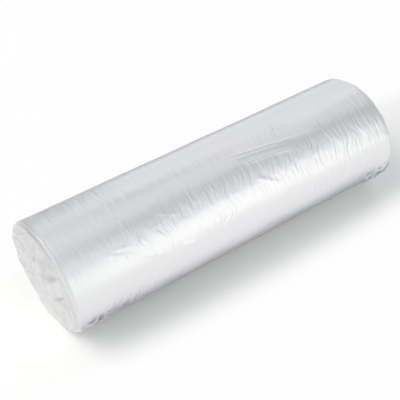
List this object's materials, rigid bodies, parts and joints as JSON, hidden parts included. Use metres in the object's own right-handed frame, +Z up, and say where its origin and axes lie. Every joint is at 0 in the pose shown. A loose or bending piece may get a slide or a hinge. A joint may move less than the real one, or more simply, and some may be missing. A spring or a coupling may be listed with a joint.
{
  "type": "roll of food bags",
  "caption": "Coreless roll of thin clear food bags wound as one long web, with rounded slipped ends and a loose outer edge, lying on its side.",
  "frame": {"origin": "on the table, under the middle of the roll", "axes": "+X along the roll, +Z up, the outer bag's free edge low on the -Y side"},
  "size_m": [0.25, 0.0751, 0.0742],
  "materials": {
    "film": "thin clear polyethylene film in many turns: milky, silvery and glossy, with fine wrinkles"
  },
  "bodies": {
    "root": {"bag_roll": "film"}
  },
  "joints": []
}
